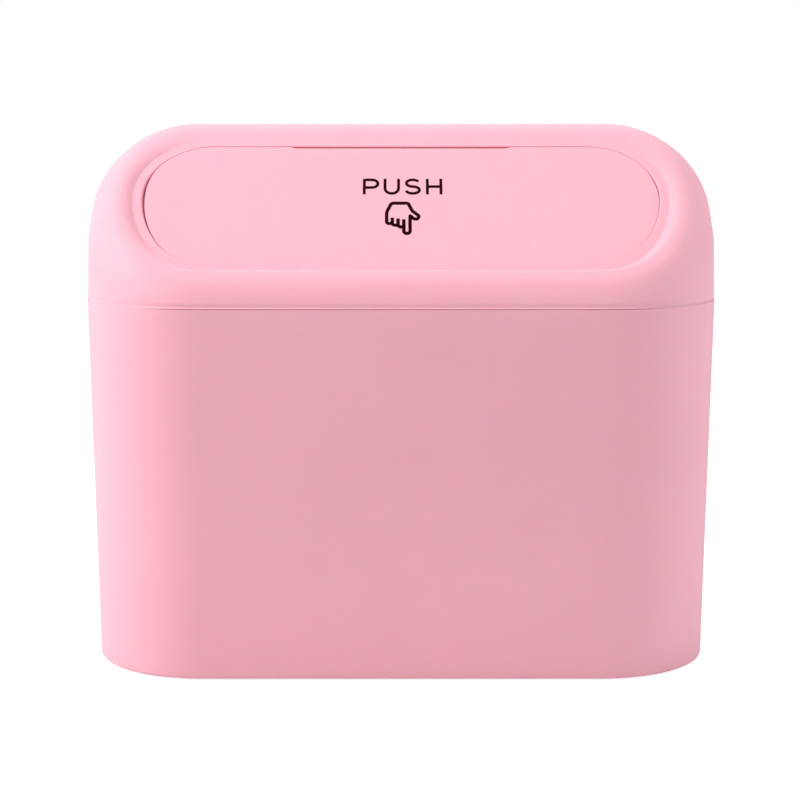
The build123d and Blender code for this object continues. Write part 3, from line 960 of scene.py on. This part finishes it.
def startGroup(name, sizes, details, results):
    # a shader group with its named inputs and outputs, a fine noise, cells and a slow noise
    group = bpy.data.node_groups.new(name, "ShaderNodeTree")
    face = group.interface
    for socket, size in sizes.items():
        face.new_socket(socket, in_out="INPUT", socket_type="NodeSocketFloat").default_value = size
    for socket in results:
        face.new_socket(socket, in_out="OUTPUT", socket_type="NodeSocketFloat")
    inputs, outputs = nodeIn(group, "NodeGroupInput"), nodeIn(group, "NodeGroupOutput")
    place = nodeIn(group, "ShaderNodeTexCoord")
    fine, slow = (nodeIn(group, "ShaderNodeTexNoise", detail) for detail in details)
    cells = nodeIn(group, "ShaderNodeTexVoronoi")
    for texture, size in ((fine, "Grain Size"), (cells, "Grain Size"), (slow, "Tone Size")):
        joinUp(group, (place, "Object", texture, "Vector"), (inputs, size, texture, "Scale"))
    joinUp(group, (slow, "Fac", outputs, "Tone"))
    return group, inputs, outputs, place, fine, cells


def makeGrainAndGapShadeGroup():
    # fine moulded grain, a slow change of tone, and how open each place lies: ambient occlusion that drives
    # the painted shade in narrow gaps
    sizes = {"Grain Size": 2600, "Tone Size": 18, "Painted Shade Reach": 0.0012}
    results = ("Height", "Tone", "Speck", "Unshaded")
    details = ({"Detail": 3, "Roughness": 0.6}, {"Detail": 4})
    group, inputs, outputs, _, fine, cells = startGroup("mouldedGrainAndGapShade", sizes, details, results)
    cells.feature = "SMOOTH_F1"
    height = nodeIn(group, "ShaderNodeMath", {1: 0.5}, operation="MULTIPLY_ADD")
    speck = nodeIn(group, "ShaderNodeMapRange", {"From Min": 0.62, "From Max": 0.8})
    # painted shade: ambient occlusion finds narrow gaps
    paintedGapShade = nodeIn(group, "ShaderNodeAmbientOcclusion", samples=6)
    unshadedShare = nodeIn(group, "ShaderNodeMapRange", {"From Max": 0.8})
    joinUp(
        group,
        (inputs, "Painted Shade Reach", paintedGapShade, "Distance"),
        (cells, "Distance", height, 0),
        (fine, "Fac", height, 2),
        (fine, "Fac", speck, "Value"),
        (paintedGapShade, "AO", unshadedShare, "Value"),
        (height, 0, outputs, "Height"),
        (speck, "Result", outputs, "Speck"),
        (unshadedShare, "Result", outputs, "Unshaded"),
    )
    return group


def makeSteelGroup():
    # fine lines round a bar that lies across the bin, with slow tone and worn specks
    sizes = {"Grain Size": 900, "Tone Size": 240}
    details, results = ({"Detail": 4}, {"Detail": 3}), ("Height", "Tone", "Speck")
    group, _, outputs, place, lines, pits = startGroup("workedSteel", sizes, details, results)
    stretch = nodeIn(group, "ShaderNodeMapping", {"Scale": (6, 1, 1)})
    speck = nodeIn(group, "ShaderNodeMapRange", {"From Min": 0.3, "From Max": 0.12})
    joinUp(
        group,
        (place, "Object", stretch, "Vector"),
        (stretch, "Vector", lines, "Vector"),
        (pits, "Distance", speck, "Value"),
        (lines, "Fac", outputs, "Height"),
        (speck, "Result", outputs, "Speck"),
    )
    return group


grainAndGapShadeGroup = makeGrainAndGapShadeGroup()
steelGroup = makeSteelGroup()


def startMaterial(finish, group):
    # a material whose tone, roughness and fine relief come from a group fixed to the piece
    material = bpy.data.materials.new(finish["name"])
    material.use_nodes = True
    tree = material.node_tree
    shader = tree.nodes["Principled BSDF"]
    shader.inputs["IOR"].default_value = finish["ior"]
    sizes = {"Grain Size": finish["grainSize"], "Tone Size": finish["toneSize"]}
    grain = nodeIn(tree, "ShaderNodeGroup", sizes, node_tree=group)
    tones = nodeIn(tree, "ShaderNodeValToRGB")
    for element, place, tone in zip(tones.color_ramp.elements, (0.3, 0.7), ("shade", "colour")):
        element.position = place
        element.color = (*finish[tone], 1)
    middle, drift = finish["roughness"], finish["roughnessDrift"]
    rough = nodeIn(tree, "ShaderNodeMapRange", {"To Min": middle - drift, "To Max": middle + drift})
    marks = nodeIn(tree, "ShaderNodeMapRange", {"To Max": finish["markShare"]})
    marked = nodeIn(tree, "ShaderNodeMix", data_type="RGBA")
    marked.inputs["B"].default_value = (*finish["mark"], 1)
    bump = nodeIn(tree, "ShaderNodeBump", {"Strength": finish["relief"], "Distance": finish["reliefDepth"]})
    joinUp(
        tree,
        (grain, "Tone", tones, "Fac"),
        (grain, "Tone", rough, "Value"),
        (grain, "Speck", marks, "Value"),
        (grain, "Height", bump, "Height"),
        (marks, "Result", marked, "Factor"),
        (tones, "Color", marked, "A"),
        (marked, "Result", shader, "Base Color"),
        (rough, "Result", shader, "Roughness"),
        (bump, "Normal", shader, "Normal"),
    )
    return material, shader, grain, marked, rough


def plasticMaterial(finish):
    # soft-touch or moulded plastic, rubber or ink
    tones = {part: fromScreen(finish[part]) for part in ("colour", "shade", "mark", "paintedGapShade")}
    material, shader, grain, marked, rough = startMaterial({**finish, **tones}, grainAndGapShadeGroup)
    tree = material.node_tree
    soft = {"Subsurface Weight": finish["translucence"], "Subsurface Radius": finish["bleed"]}
    setSockets(shader, {"Specular IOR Level": finish["specular"], "Subsurface Scale": 0.002, **soft})
    # painted shade: where ambient occlusion finds a narrow gap, the base colour turns a deeper, darker
    # colour, standing in for the shade and bounced light in the gap
    gapShadeMix = nodeIn(tree, "ShaderNodeMix", data_type="RGBA")
    gapShadeMix.inputs["A"].default_value = (*tones["paintedGapShade"], 1)
    # seen almost edge-on, the grain breaks up the gloss
    facing = nodeIn(tree, "ShaderNodeLayerWeight")
    start, end = finish["edgeOn"]
    edgeOn = nodeIn(tree, "ShaderNodeMapRange", {"From Min": start, "From Max": end})
    dull = nodeIn(tree, "ShaderNodeMix", {"B": finish["edgeRoughness"]})
    joinUp(
        tree,
        (grain, "Unshaded", gapShadeMix, "Factor"),
        (marked, "Result", gapShadeMix, "B"),
        (gapShadeMix, "Result", shader, "Base Color"),
        (facing, "Facing", edgeOn, "Value"),
        (edgeOn, "Result", dull, "Factor"),
        (rough, "Result", dull, "A"),
        (dull, "Result", shader, "Roughness"),
    )
    return material


def steelMaterial(finish):
    material, shader = startMaterial(finish, steelGroup)[:2]
    shader.inputs["Metallic"].default_value = 1.0
    return material


def fromScreen(channels):
    # a colour as a screen shows it, from 0 to 255, to the linear values of a shader
    shares = [channel / 255 for channel in channels]
    return tuple(((s + 0.055) / 1.055) ** 2.4 if s > 0.04045 else s / 12.92 for s in shares)


softPink = {
    "name": "softTouchPink",
    "colour": (228, 167, 182),
    "shade": (225, 164, 179),
    "mark": (237, 182, 195),
    # painted shade: the colour narrow gaps are painted with
    "paintedGapShade": (240, 118, 150),  # in a narrow gap
    "markShare": 0.06,
    "grainSize": 2600,
    "toneSize": 18,
    "roughness": 0.55,
    "roughnessDrift": 0.05,
    "ior": 1.46,
    "relief": 0.12,
    "reliefDepth": 0.00004,
    "specular": 0.3,
    "edgeOn": (0.7, 0.9),  # from here to here, as it turns away, the roughness goes up
    "edgeRoughness": 1.0,
    "translucence": 0.35,
    "bleed": (1.0, 0.22, 0.3),
}
padPrint = dict(
    softPink,
    name="padPrintInk",
    colour=(44, 3, 14),
    shade=(34, 2, 11),
    mark=(66, 10, 26),
    # painted shade colour for narrow gaps
    paintedGapShade=(30, 2, 10),
    markShare=0.3,
    roughness=0.8,
    specular=0.02,
    translucence=0.0,
    grainSize=5200,
    toneSize=160,
)
mouldedPink = dict(softPink, name="mouldedPink", roughness=0.42, relief=0.05)
ringPink = dict(
    softPink,
    name="bagRingPink",
    colour=(238, 196, 206),
    shade=(233, 189, 200),
    roughness=0.36,
    relief=0.04,
    translucence=0.25,
)
padRubber = dict(
    softPink,
    name="paleRubber",
    colour=(198, 198, 200),
    shade=(184, 184, 187),
    mark=(150, 148, 146),
    # painted shade colour for narrow gaps
    paintedGapShade=(128, 126, 128),
    markShare=0.35,
    roughness=0.72,
    roughnessDrift=0.08,
    relief=0.3,
    specular=0.35,
    bleed=(1.0, 1.0, 1.0),
    toneSize=320,
)
stopRubber = dict(
    padRubber,
    name="darkRubber",
    colour=(66, 64, 66),
    shade=(48, 47, 49),
    mark=(112, 109, 107),
    # painted shade colour for narrow gaps
    paintedGapShade=(34, 33, 35),
    roughness=0.85,
    specular=0.3,
    translucence=0.0,
)
zincPlate = {
    "name": "zincPlatedSteel",
    "colour": (0.72, 0.74, 0.76),
    "shade": (0.58, 0.6, 0.64),
    "mark": (0.42, 0.42, 0.4),
    "markShare": 0.5,
    "grainSize": 1500,
    "toneSize": 420,
    "roughness": 0.34,
    "roughnessDrift": 0.12,
    "ior": 1.5,
    "relief": 0.15,
    "reliefDepth": 0.00003,
}
groundSteel = dict(
    zincPlate,
    name="groundSteel",
    colour=(0.66, 0.65, 0.63),
    shade=(0.55, 0.55, 0.54),
    markShare=0.25,
    grainSize=2400,
    roughness=0.24,
    roughnessDrift=0.08,
)
springWire = dict(
    zincPlate,
    name="drawnSpringWire",
    colour=(0.6, 0.59, 0.57),
    shade=(0.46, 0.46, 0.46),
    markShare=0.35,
    grainSize=3200,
    roughness=0.3,
)

innerPlastic, steel = plasticMaterial(mouldedPink), steelMaterial(zincPlate)
pinSteel, springSteel = steelMaterial(groundSteel), steelMaterial(springWire)
ringPlastic, stopMaterial = plasticMaterial(ringPink), plasticMaterial(stopRubber)
dressing = (
    (plasticMaterial(softPink), (lidShell, lidPosts, flapPanel, bucketTub, ringRests)),
    (plasticMaterial(padPrint), (pushWord, pushHand)),
    (plasticMaterial(padRubber), footPads),
    (springSteel, springs),
)
for material, pieces in dressing:
    for piece in pieces:
        piece.data.materials.clear()
        piece.data.materials.append(material)

solidDressing = (
    (innerPlastic, ("lid_frame", "flap_carrier", "hinge_bracket_left", "hinge_bracket_right")),
    (ringPlastic, ("bag_ring",)),
    (stopMaterial, ("flap_stops",)),
    (steel, ("frame_screws", "flap_screws", "bracket_screws")),
    (pinSteel, ("hinge_pin_left", "hinge_pin_right")),
)
for material, nodes in solidDressing:
    for node in nodes:
        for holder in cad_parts[node].material_slots:
            holder.material = material
print("materials made")

# floor, light and camera
studio = {
    "worldFill": 0.35,
    "floorLift": 0.85,
    "floorTone": 0.5,
    "floorGrey": 0.84,  # as the bin is lit by it
    "floorReach": 12.0,
    "aim": (0, 0, 0.1),
}
# place, power, size and colour of each lamp
lamps = {
    "keyLamp": ((-1.3, -0.35, 1.25), 30.2, 1.1, (1, 1, 0.975)),
    "topLamp": ((0, -0.2, 1.8), 10.9, 1.2, (1, 1, 1)),
    "backLamp": ((0, 1.3, 1.3), 6.0, 1.2, (1, 1, 1)),
    "leftLamp": ((-1.7, 0.1, 0.5), 3.8, 1.0, (1, 0.99, 0.95)),
    "rightLamp": ((1.7, -0.2, 0.5), 11.5, 1.0, (0.95, 1, 1)),
    "lowLamp": ((1.6, -0.3, 0.25), 0.7, 0.5, (1, 1, 1)),
    "frontLamp": ((-1.2, -1.3, 0.7), 1.3, 1.0, (1, 1, 1)),
}
frontCamera = {
    "place": (0, -0.6909, 0.1929),
    "lookDown": 8.87,
    "sensor": 36,
    "focal": 2112.6,  # in units of the picture, as its width and the shift are
    "pictureWidth": 800,
    "shift": -1,
}


def makeFloor():
    mesh = bpy.data.meshes.new("studioFloor")
    reach = studio["floorReach"]
    corners = [(-reach, -reach, 0), (reach, -reach, 0), (reach, reach, 0), (-reach, reach, 0)]
    mesh.from_pydata(corners, [], [(0, 1, 2, 3)])
    floor = inScene("studioFloor", mesh)
    material = bpy.data.materials.new("paperFloor")
    material.use_nodes = True
    tree = material.node_tree
    tree.nodes.clear()
    output = nodeIn(tree, "ShaderNodeOutputMaterial")
    paper = nodeIn(tree, "ShaderNodeBsdfDiffuse", {"Color": (*(studio["floorGrey"],) * 3, 1)})
    shown = nodeIn(tree, "ShaderNodeBsdfDiffuse")
    lift = nodeIn(tree, "ShaderNodeEmission", {"Strength": studio["floorLift"]})
    both = nodeIn(tree, "ShaderNodeAddShader")
    rays = nodeIn(tree, "ShaderNodeLightPath")
    pick = nodeIn(tree, "ShaderNodeMixShader")
    fibres = nodeIn(tree, "ShaderNodeTexNoise", {"Scale": 400})
    low, high = studio["floorTone"] - 0.01, studio["floorTone"] + 0.01
    tone = nodeIn(tree, "ShaderNodeMapRange", {"To Min": low, "To Max": high})
    joinUp(
        tree,
        (fibres, "Fac", tone, "Value"),
        (tone, "Result", shown, "Color"),
        (shown, 0, both, 0),
        (lift, 0, both, 1),
        (rays, "Is Camera Ray", pick, "Fac"),
        (paper, 0, pick, 1),
        (both, 0, pick, 2),
        (pick, 0, output, "Surface"),
    )
    mesh.materials.append(material)


def makeWorld():
    world = bpy.data.worlds.new("studioWorld")
    bpy.context.scene.world = world
    world.use_nodes = True
    tree = world.node_tree
    back = tree.nodes["Background"]
    back.inputs["Color"].default_value = (1, 1, 1, 1)
    rays = nodeIn(tree, "ShaderNodeLightPath")
    seen, either = (nodeIn(tree, "ShaderNodeMath", operation="MAXIMUM") for _ in range(2))
    strength = nodeIn(tree, "ShaderNodeMapRange", {"To Min": studio["worldFill"], "To Max": 1.0})
    joinUp(
        tree,
        (rays, "Is Camera Ray", seen, 0),
        (rays, "Is Glossy Ray", seen, 1),
        (seen, 0, either, 0),
        (rays, "Is Transmission Ray", either, 1),
        (either, 0, strength, "Value"),
        (strength, "Result", back, "Strength"),
    )


def softLamp(name, place, power, size, colour):
    light = bpy.data.lights.new(name, "AREA")
    light.shape = "SQUARE"
    light.size = size
    light.energy = power
    light.color = colour
    lamp = inScene(name, light)
    lamp.location = place
    lamp.rotation_euler = (Vector(studio["aim"]) - Vector(place)).to_track_quat("-Z", "Y").to_euler()


def makeCamera():
    data = bpy.data.cameras.new("frontCamera")
    data.sensor_width = frontCamera["sensor"]
    data.lens = frontCamera["focal"] / frontCamera["pictureWidth"] * frontCamera["sensor"]
    data.shift_x = frontCamera["shift"] / frontCamera["pictureWidth"]
    camera = inScene("frontCamera", data)
    camera.location = frontCamera["place"]
    camera.rotation_euler = (math.radians(90 - frontCamera["lookDown"]), 0, 0)
    bpy.context.scene.camera = camera


makeFloor()
makeWorld()
for lampName, settings in lamps.items():
    softLamp(lampName, *settings)
makeCamera()
bpy.context.scene.view_settings.view_transform = "Standard"
print("studio made")
